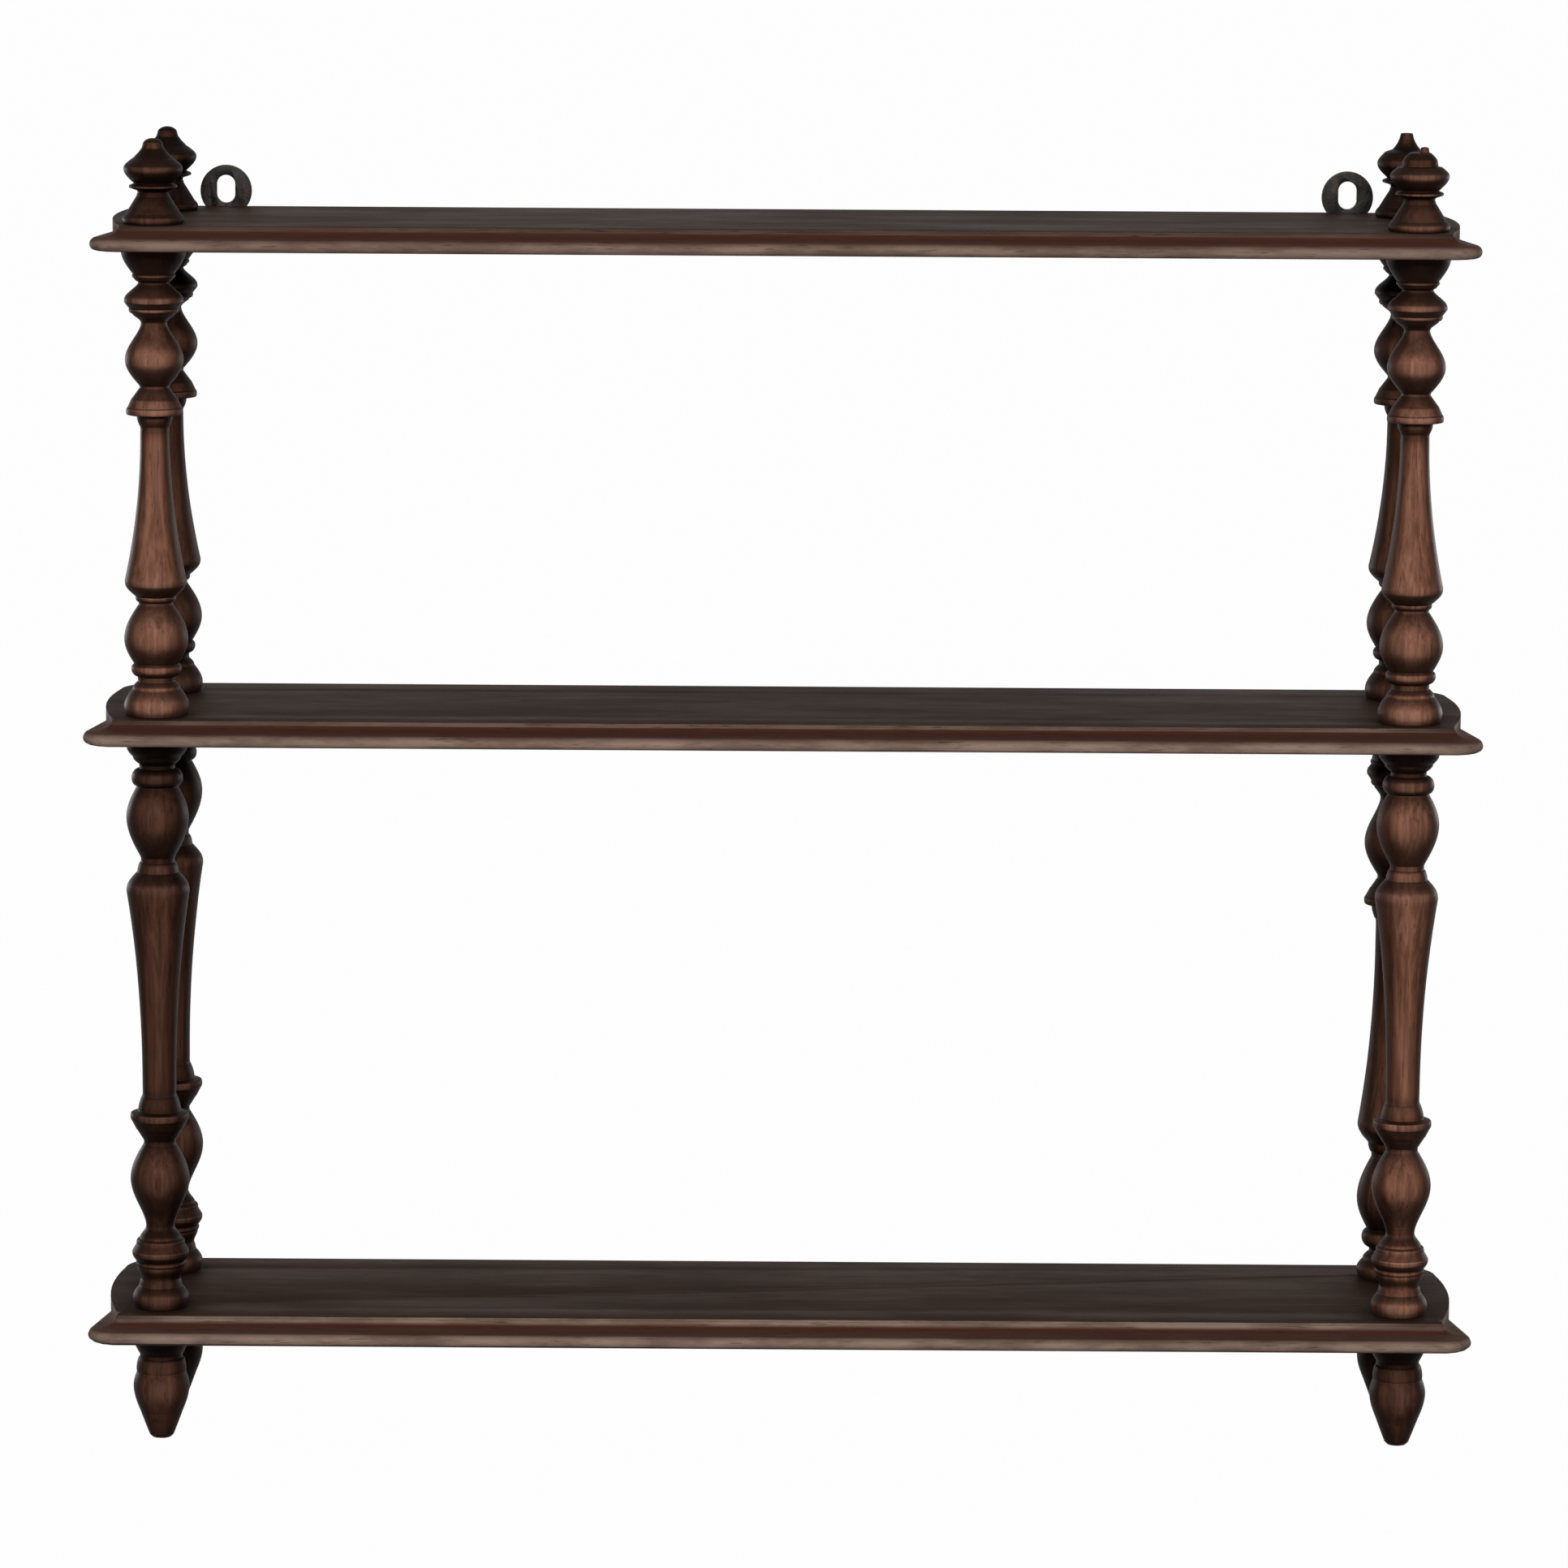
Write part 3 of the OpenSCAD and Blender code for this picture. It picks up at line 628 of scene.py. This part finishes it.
def plain_result(mesh, tree, name, values):
    """Runs a Geometry Nodes tree on a mesh, with values for its named inputs, and returns a plain mesh."""
    holder = bpy.data.objects.new(mesh.name, mesh)
    bpy.context.scene.collection.objects.link(holder)
    modifier = holder.modifiers.new(tree.name, "NODES")
    modifier.node_group = tree
    for item in tree.interface.items_tree:
        if item.in_out == "INPUT" and item.name in values:
            modifier[item.identifier] = values[item.name]
    graph = bpy.context.evaluated_depsgraph_get()
    made = bpy.data.meshes.new_from_object(holder.evaluated_get(graph), depsgraph=graph)
    made.name = name
    bpy.data.objects.remove(holder)
    return made


def store_marks(mesh, marks):
    """Stores numbers on the points of a mesh; marks maps each name to its values."""
    for name, values in marks.items():
        data = mesh.attributes.new(name, "FLOAT", "POINT").data
        data.foreach_set("value", np.array(values, np.float32))


def facing_out(mesh):
    """Turns the faces of a closed mesh outwards."""
    bm = bmesh.new()
    bm.from_mesh(mesh)
    bmesh.ops.recalc_face_normals(bm, faces=bm.faces)
    bm.to_mesh(mesh)
    bm.free()


def spun_mesh(section, axis, stain, seed, props, name):
    """Mesh of a section spun round an axis, with its worn and dirty places and its painted shadow under the
    boards as attributes.
    """
    points, rub = softened(section, props)
    stand = relief(points, props.relief_reach)
    mesh = bpy.data.meshes.new(name + "_section")
    mesh.from_pydata([(p.x, 0, p.y) for p in points], [(k, k + 1) for k in range(len(points) - 1)], [])
    store_marks(mesh, {
        "rub": rub, "wax": under_boards(points),
        "crest": np.clip(stand / CREST_STAND, 0, 1), "groove": np.clip(-stand / GROOVE_DEPTH, 0, 1),
    })
    if "Turning" not in bpy.data.node_groups:
        turning_tree()
    made = plain_result(mesh, bpy.data.node_groups["Turning"], name, {
        "Segments": props.segments, "Axis": (*axis, 0.0), "Out of Round": props.out_of_round,
        "Stain": stain, "Seed": seed, "Finish": finish_of("turned_wood"),
    })
    facing_out(made)
    return made


def stub_of(node):
    """Section and axis of the stub of a broken knob, which ends in the node's highest flat face."""
    co = np.array([v.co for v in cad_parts[node].data.vertices])
    face = co[co[:, 2] > co[:, 2].max() - 0.01 * MM]
    axis = face[:, :2].min(0) / 2 + face[:, :2].max(0) / 2
    radius, top = np.hypot(*(face[:, :2] - axis).T).max(), face[0, 2]
    low = top - STUB_LENGTH
    section = [(0.0, low), (radius + STUB_FLARE, low), (radius, top - STUB_WEAR), (0.0, top)]
    return section, tuple(axis)


def joined(*meshes):
    """First mesh with the others added to it."""
    bm = bmesh.new()
    for mesh in meshes:
        bm.from_mesh(mesh)
    bm.to_mesh(meshes[0])
    bm.free()
    return meshes[0]


def show(mesh, name, slot, *nodes):
    """Puts a finished mesh in the scene as a piece that stands for CAD nodes."""
    piece = bpy.data.objects.new(name, mesh)
    bpy.context.scene.collection.objects.link(piece)
    if not mesh.materials:
        mesh.materials.append(finish_of(slot))
    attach(piece, "root")
    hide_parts(*nodes)


def turned_piece(node, seed, props):
    """Spins one turned node again, finer than the solid."""
    name = "Turned_" + node
    stain = STAIN_AND_SHADE.get(node, UNLISTED_STAIN_AND_SHADE)
    mesh = spun_mesh(section_of(node), axis_of(node), stain, seed, props, name)
    show(mesh, name, "turned_wood", node)


def eased_mesh(node, width, name):
    """Copy of a flat-sided node with its outer arrises eased; the eased faces are marked as rubbed."""
    bm = bmesh.new()
    bm.from_mesh(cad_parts[node].data)
    bmesh.ops.remove_doubles(bm, verts=bm.verts, dist=SAME_VERTEX)
    bmesh.ops.dissolve_limit(bm, angle_limit=FLAT_ANGLE, verts=bm.verts, edges=bm.edges)
    sharp = [
        e for e in bm.edges
        if e.is_manifold and e.is_convex and e.calc_face_angle(0) > EASED_ANGLE
    ]
    eased = bmesh.ops.bevel(
        bm, geom=sharp, offset=width, offset_type="OFFSET", segments=EASED_STEPS, profile=0.5,
        affect="EDGES", clamp_overlap=True)
    rub = bm.loops.layers.float.new("rub")
    for f in eased["faces"]:
        for loop in f.loops:
            loop[rub] = 1.0
    bmesh.ops.recalc_face_normals(bm, faces=bm.faces)
    mesh = bpy.data.meshes.new(name)
    bm.to_mesh(mesh)
    bm.free()
    mesh.shade_smooth()
    mesh.set_sharp_from_angle(angle=CRISP_ANGLE)
    return mesh


def mark_board(mesh, wear):
    """Stores each vertex's place in the board's thickness, 0 on top and 1 underneath, and its wear, which
    also sets how strongly the painted highlights on the fillet and nose show.
    """
    height = np.array([v.co.z for v in mesh.vertices])
    drop = (height.max() - height) / (height.max() - height.min())
    store_marks(mesh, {"drop": drop, "wear": np.full(len(drop), wear)})


def islands(node):
    """Boxes of a node's separate solids, as (low, high), from left to right."""
    bm = bmesh.new()
    bm.from_mesh(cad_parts[node].data)
    bmesh.ops.remove_doubles(bm, verts=bm.verts, dist=SAME_VERTEX)
    left = set(bm.verts)
    boxes = []
    while left:
        group, front = set(), [left.pop()]
        while front:
            v = front.pop()
            group.add(v)
            for e in v.link_edges:
                w = e.other_vert(v)
                if w in left:
                    left.discard(w)
                    front.append(w)
        co = np.array([v.co for v in group])
        boxes.append((Vector(co.min(0)), Vector(co.max(0))))
    bm.free()
    return sorted(boxes, key=lambda b: b[0].x)


def screw_tree():
    """Geometry Nodes tree that sets a slotted countersunk screw at each point, pointing to -Y."""
    tree, given = fresh_tree("Slotted Screws", {
        "Points": "Geometry", "Head Radius": "Float", "Shank Radius": "Float", "Length": "Float",
        "Slot Width": "Float", "Seed": "Int", "Finish": "Material",
    })
    wide, thin = given["Head Radius"], given["Shank Radius"]
    head_depth = add(tree, "ShaderNodeMath", {0: wide, 1: thin}, operation="SUBTRACT").outputs[0]
    point = add(tree, "ShaderNodeMath", {0: thin, 1: 2.0}, operation="MULTIPLY").outputs[0]
    shank = add(tree, "ShaderNodeMath", {
        0: given["Length"], 1: head_depth}, operation="SUBTRACT").outputs[0]
    shank = add(tree, "ShaderNodeMath", {0: shank, 1: point}, operation="SUBTRACT").outputs[0]
    point_start = add(tree, "ShaderNodeMath", {0: head_depth, 1: shank}, operation="ADD").outputs[0]
    head, body, tip = (
        add(tree, "GeometryNodeMeshCone", {
            "Vertices": steps, "Side Segments": rings, "Fill Segments": 1,
            "Radius Top": top, "Radius Bottom": bottom, "Depth": depth}).outputs[0]
        for steps, rings, top, bottom, depth in (
            (40, 2, thin, wide, head_depth), (24, 1, thin, thin, shank), (24, 1, 0.0, thin, point)))

    slot_length = add(tree, "ShaderNodeMath", {0: wide, 1: 3.0}, operation="MULTIPLY").outputs[0]
    slot_depth = add(tree, "ShaderNodeMath", {0: head_depth, 1: 0.9}, operation="MULTIPLY").outputs[0]
    slot = add(tree, "ShaderNodeCombineXYZ", {
        0: slot_length, 1: given["Slot Width"], 2: slot_depth}).outputs[0]
    slot = add(tree, "GeometryNodeMeshCube", {"Size": slot}).outputs[0]
    head = add(tree, "GeometryNodeMeshBoolean", {
        "Mesh 1": head, "Mesh 2": slot}, operation="DIFFERENCE").outputs[0]

    screw = add(tree, "GeometryNodeJoinGeometry")
    tree.links.new(head, screw.inputs[0])
    for part, start in ((body, head_depth), (tip, point_start)):
        shift = add(tree, "ShaderNodeCombineXYZ", {2: start}).outputs[0]
        part = add(tree, "GeometryNodeTransform", {"Geometry": part, "Translation": shift}).outputs[0]
        tree.links.new(part, screw.inputs[0])
    upright = add(tree, "GeometryNodeTransform", {
        "Geometry": screw.outputs[0], "Rotation": (math.pi / 2, 0, 0)}).outputs[0]
    turn = add(tree, "FunctionNodeRandomValue", {
        2: 0.0, 3: math.pi, "Seed": given["Seed"]}, data_type="FLOAT").outputs[1]
    turn = add(tree, "ShaderNodeCombineXYZ", {1: turn}).outputs[0]
    turn = add(tree, "FunctionNodeEulerToRotation", {0: turn}).outputs[0]
    shape = add(tree, "GeometryNodeInstanceOnPoints", {
        "Points": given["Points"], "Instance": upright, "Rotation": turn}).outputs[0]
    return closed_tree(tree, shape, given["Finish"])


# Properties


class TurningProperties(bpy.types.PropertyGroup):
    segments: bpy.props.IntProperty(
        name="Segments", description="Steps round a turned piece", default=72, min=24, max=96)
    step: bpy.props.FloatProperty(
        name="Step", description="Distance between the rings of a turned piece",
        default=0.8 * MM, unit="LENGTH", precision=5)
    arris: bpy.props.FloatProperty(
        name="Worn arris", description="How far the edges of the turnings are rounded by wear",
        default=0.45 * MM, unit="LENGTH", precision=5)
    corner_angle: bpy.props.FloatProperty(
        name="Corner", description="Angle from which two lines of the section meet in an edge",
        default=math.radians(27), subtype="ANGLE")
    out_of_round: bpy.props.FloatProperty(
        name="Out of round", description="How uneven the hand turning is", default=0.5 * MM,
        unit="LENGTH", precision=5)
    relief_reach: bpy.props.FloatProperty(
        name="Relief reach", description="Height over which crests and grooves are judged",
        default=12 * MM, unit="LENGTH", precision=5)


class BoardProperties(bpy.types.PropertyGroup):
    arris: bpy.props.FloatProperty(
        name="Eased arris", description="Width of the rubbed edges of the boards", default=0.4 * MM,
        unit="LENGTH", precision=5)


class IronProperties(bpy.types.PropertyGroup):
    arris: bpy.props.FloatProperty(
        name="Filed arris", description="Width of the filed edges of the hangers", default=0.35 * MM,
        unit="LENGTH", precision=5)
    slot_width: bpy.props.FloatProperty(
        name="Screw slot", description="Width of the slot in a screw's head", default=0.9 * MM,
        unit="LENGTH", precision=5)


class StageProperties(bpy.types.PropertyGroup):
    floor_drop: bpy.props.FloatProperty(
        name="Floor", description="Distance of the floor below the pendants",
        default=0.09, unit="LENGTH")
    backdrop: bpy.props.FloatVectorProperty(
        name="Backdrop", description="Colour of the plain pale background", subtype="COLOR",
        size=3, min=0, max=1, default=linear("#ffffff")[:3])
    key_power: bpy.props.FloatProperty(
        name="Key light", description="Power of the soft light in front", default=172, unit="POWER")
    top_power: bpy.props.FloatProperty(
        name="Top light", description="Power of the soft light above", default=2, unit="POWER")
    fill_power: bpy.props.FloatProperty(
        name="Fill light", description="Power of each soft light behind the ends",
        default=45, unit="POWER")


PROPERTIES = {
    "shelf_turning": TurningProperties,
    "shelf_boards": BoardProperties,
    "shelf_iron": IronProperties,
    "shelf_stage": StageProperties,
}


# Operators


class SHELF_OT_boards(bpy.types.Operator):
    """Dresses the three moulded boards"""
    bl_idname = "shelf.boards"
    bl_label = "Boards"

    def execute(self, context):
        for node, wear in BOARDS.items():
            mesh = eased_mesh(node, context.scene.shelf_boards.arris, "Moulded_" + node)
            mark_board(mesh, wear)
            show(mesh, "Moulded_" + node, "board_wood", node)
        return {"FINISHED"}


class SHELF_OT_columns(bpy.types.Operator):
    """Spins the upper and lower columns"""
    bl_idname = "shelf.columns"
    bl_label = "Columns"

    def execute(self, context):
        for seed, node in enumerate(COLUMNS):
            turned_piece(node, seed, context.scene.shelf_turning)
        return {"FINISHED"}


class SHELF_OT_finials(bpy.types.Operator):
    """Spins the finials, with the stub of the broken knob on the front right one"""
    bl_idname = "shelf.finials"
    bl_label = "Finials"

    def execute(self, context):
        props = context.scene.shelf_turning
        for seed, node in enumerate(FINIALS, FINIAL_SEED):
            turned_piece(node, seed, props)
        name, stain = "Turned_" + WORN_FINIAL, STAIN_AND_SHADE[WORN_FINIAL]
        section, axis = section_of(WORN_FINIAL), axis_of(WORN_FINIAL)
        body = spun_mesh(section, axis, stain, WORN_SEED, props, name)
        section, axis = stub_of(WORN_FINIAL)
        stub = spun_mesh(section, axis, stain, STUB_SEED, props, name + "_stub")
        show(joined(body, stub), name, "turned_wood", WORN_FINIAL)
        return {"FINISHED"}


class SHELF_OT_pendants(bpy.types.Operator):
    """Spins the pendants under the bottom board"""
    bl_idname = "shelf.pendants"
    bl_label = "Pendants"

    def execute(self, context):
        for seed, node in enumerate(PENDANTS, PENDANT_SEED):
            turned_piece(node, seed, context.scene.shelf_turning)
        return {"FINISHED"}


class SHELF_OT_hangers(bpy.types.Operator):
    """Dresses the two iron hangers"""
    bl_idname = "shelf.hangers"
    bl_label = "Hangers"

    def execute(self, context):
        for node in HANGERS:
            mesh = eased_mesh(node, context.scene.shelf_iron.arris, "Forged_" + node)
            show(mesh, "Forged_" + node, "dark_iron", node)
        return {"FINISHED"}


class SHELF_OT_screws(bpy.types.Operator):
    """Sets a slotted screw at each screw of the hangers"""
    bl_idname = "shelf.screws"
    bl_label = "Hanger screws"

    def execute(self, context):
        boxes = islands("hanger_screws")
        low, high = boxes[0]
        width = high.x - low.x
        mesh = bpy.data.meshes.new("screw_points")
        mesh.from_pydata([((a.x + b.x) / 2, b.y, (a.z + b.z) / 2) for a, b in boxes], [], [])
        made = plain_result(mesh, screw_tree(), "Slotted_screws", {
            "Head Radius": width / 2, "Shank Radius": width / 4, "Length": high.y - low.y,
            "Slot Width": context.scene.shelf_iron.slot_width,
            "Seed": SCREW_SEED, "Finish": finish_of("screw_steel"),
        })
        show(made, "Slotted_screws", "screw_steel", "hanger_screws")
        return {"FINISHED"}


class SHELF_OT_dowels(bpy.types.Operator):
    """Gives the dowels inside the posts their bare wood"""
    bl_idname = "shelf.dowels"
    bl_label = "Dowels"

    def execute(self, context):
        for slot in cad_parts["middle_dowels"].material_slots:
            slot.material = finish_of("bare_wood")
        return {"FINISHED"}


def seen_directly(tree):
    """1 for camera, glossy and transmission rays, and 0 for the rays that carry plain light."""
    rays = add(tree, "ShaderNodeLightPath").outputs
    seen = rays["Is Camera Ray"]
    for kind in ("Is Glossy Ray", "Is Transmission Ray"):
        seen = add(tree, "ShaderNodeMath", {0: seen, 1: rays[kind]}, operation="MAXIMUM").outputs[0]
    return seen


def pale_floor(scene, colour, height):
    """Wide floor that looks like the background and still takes the shelf's light and shadow."""
    corners = ((-1, -1), (1, -1), (1, 1), (-1, 1))
    mesh = bpy.data.meshes.new("Floor")
    mesh.from_pydata([(FLOOR_REACH * x, FLOOR_REACH * y, height) for x, y in corners], [], [(0, 1, 2, 3)])
    floor = bpy.data.objects.new("Floor", mesh)
    scene.collection.objects.link(floor)
    material, tree = fresh_material("Pale_Floor")
    lit = add(tree, "ShaderNodeBsdfDiffuse", {"Color": linear("#707070")}).outputs[0]
    glow = add(tree, "ShaderNodeEmission", {"Color": colour, "Strength": 1.0}).outputs[0]
    share = mask(tree, seen_directly(tree), FLOOR_GLOW)
    mixed = add(tree, "ShaderNodeMixShader", {0: share, 1: lit, 2: glow}).outputs[0]
    add(tree, "ShaderNodeOutputMaterial", {0: mixed})
    mesh.materials.append(material)


def pale_world(scene, colour):
    """World that shows the background's colour and gives a weak, even light."""
    world = bpy.data.worlds.new("Pale_Studio")
    scene.world = world
    world.use_nodes = True
    tree = world.node_tree
    tree.nodes.clear()
    ambient = add(tree, "ShaderNodeBackground", {
        "Color": linear("#f6f6f8"), "Strength": AMBIENT}).outputs[0]
    backdrop = add(tree, "ShaderNodeBackground", {"Color": colour, "Strength": 1.0}).outputs[0]
    mixed = add(tree, "ShaderNodeMixShader", {0: seen_directly(tree), 1: ambient, 2: backdrop}).outputs[0]
    add(tree, "ShaderNodeOutputWorld", {0: mixed})


def soft_light(scene, name, place, aim, size, power):
    """Rectangular area light at a place, turned to a point."""
    lamp = bpy.data.lights.new(name, "AREA")
    lamp.shape = "RECTANGLE"
    lamp.size, lamp.size_y = size
    lamp.energy = power
    light = bpy.data.objects.new(name, lamp)
    light.visible_camera = False
    light.location = place
    light.rotation_euler = (Vector(aim) - Vector(place)).to_track_quat("-Z", "Y").to_euler()
    scene.collection.objects.link(light)


def fitted_camera(scene):
    """Camera at the photo's viewing angle."""
    sin_p, cos_p = math.sin(CAMERA_PITCH), math.cos(CAMERA_PITCH)
    sin_y, cos_y = math.sin(CAMERA_YAW), math.cos(CAMERA_YAW)
    sin_r, cos_r = math.sin(CAMERA_ROLL), math.cos(CAMERA_ROLL)
    ahead = Vector((sin_y * cos_p, cos_y * cos_p, -sin_p))
    right = Vector((cos_y, -sin_y, 0))
    up = Vector((sin_y * sin_p, cos_y * sin_p, cos_p))
    turned = Matrix((right * cos_r + up * sin_r, up * cos_r - right * sin_r, -ahead)).transposed()
    data = bpy.data.cameras.new("Camera")
    data.sensor_width = CAMERA_SENSOR
    data.lens = CAMERA_LENS
    data.clip_start, data.clip_end = CAMERA_CLIP
    camera = bpy.data.objects.new("Camera", data)
    camera.matrix_world = Matrix.Translation(Vector(CAMERA_PLACE) * MM) @ turned.to_4x4()
    scene.collection.objects.link(camera)
    scene.camera = camera


class SHELF_OT_stage(bpy.types.Operator):
    """Sets the floor, the lights, the background and the camera"""
    bl_idname = "shelf.stage"
    bl_label = "Stage"

    def execute(self, context):
        scene, props = context.scene, context.scene.shelf_stage
        scene.view_settings.view_transform = "Standard"
        pale = (*props.backdrop, 1.0)
        pale_floor(scene, pale, CAD_BOX[0].z - props.floor_drop)
        pale_world(scene, pale)
        for name, (place, aim, size, power) in LIGHTS.items():
            soft_light(scene, name, place, aim, size, getattr(props, power))
        fitted_camera(scene)
        return {"FINISHED"}


OPERATORS = (
    SHELF_OT_boards, SHELF_OT_columns, SHELF_OT_finials, SHELF_OT_pendants,
    SHELF_OT_hangers, SHELF_OT_screws, SHELF_OT_dowels, SHELF_OT_stage,
)


class SHELF_PT_panel(bpy.types.Panel):
    """Lists the sizes and the steps that dress the shelf"""
    bl_idname = "SHELF_PT_panel"
    bl_label = "Turned wall shelf"
    bl_space_type = "VIEW_3D"
    bl_region_type = "UI"
    bl_category = "Shelf"

    def draw(self, context):
        for key, kind in PROPERTIES.items():
            box = self.layout.box()
            for name in kind.__annotations__:
                box.prop(getattr(context.scene, key), name)
        for operator in OPERATORS:
            self.layout.operator(operator.bl_idname)


CLASSES = (*PROPERTIES.values(), *OPERATORS, SHELF_PT_panel)


def register():
    for cls in CLASSES:
        bpy.utils.register_class(cls)
    for key, kind in PROPERTIES.items():
        setattr(bpy.types.Scene, key, bpy.props.PointerProperty(type=kind))


def unregister():
    for key in PROPERTIES:
        delattr(bpy.types.Scene, key)
    for cls in reversed(CLASSES):
        bpy.utils.unregister_class(cls)


def main():
    register()
    bpy.ops.shelf.boards()
    bpy.ops.shelf.columns()
    bpy.ops.shelf.finials()
    bpy.ops.shelf.pendants()
    bpy.ops.shelf.hangers()
    bpy.ops.shelf.screws()
    bpy.ops.shelf.dowels()
    bpy.ops.shelf.stage()


if __name__ == "__main__":
    main()
